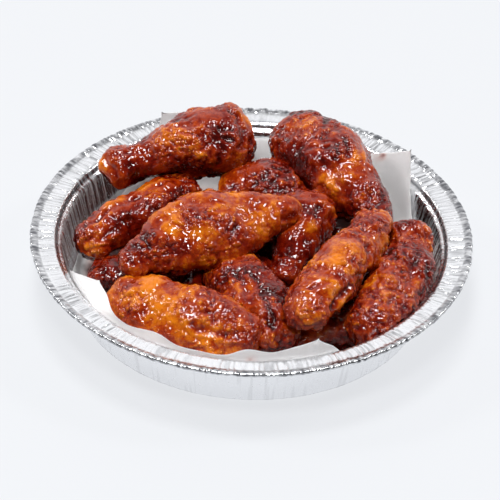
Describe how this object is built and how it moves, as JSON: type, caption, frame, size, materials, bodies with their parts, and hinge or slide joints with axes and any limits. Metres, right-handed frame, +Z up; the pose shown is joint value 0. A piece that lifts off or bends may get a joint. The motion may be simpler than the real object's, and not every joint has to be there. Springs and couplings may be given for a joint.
{
  "type": "chicken wings serving",
  "caption": "Round crimped foil pan lined with deli paper, heaped with craggy glazed chicken flats and drumettes.",
  "frame": {"origin": "middle of the pan's flat underside, where it rests", "axes": "+Z up, out of the pan's mouth; -Y towards the front, where the paper folds in over the wings; +X to the right seen from there"},
  "size_m": [0.23, 0.23, 0.0686],
  "materials": {
    "foil": "bright stamped foil, crimped and creased",
    "paper": "white deli paper, matt and slightly see-through",
    "glaze_bright": "wet sticky glaze over craggy orange-brown crust",
    "glaze_mid": "wet sticky glaze over craggy red-brown crust",
    "glaze_dark": "thick wet dark red-brown glaze"
  },
  "bodies": {
    "root": {"foil_pan": "foil", "paper_liner": "paper", "drumette_top_left": "glaze_mid", "flat_top_middle": "glaze_bright", "flat_top_right": "glaze_bright", "drumette_top_back": "glaze_mid", "flat_right": "glaze_mid", "flat_front": "glaze_bright", "flat_left": "glaze_mid", "flat_behind_middle": "glaze_dark", "drumette_middle": "glaze_dark", "flat_front_middle": "glaze_mid", "flat_low_left": "glaze_dark", "drumette_low_right": "glaze_dark", "flat_low_front": "glaze_dark", "drumette_low_middle": "glaze_dark", "flat_low_back": "glaze_dark", "drumette_low_back": "glaze_dark"}
  },
  "joints": []
}
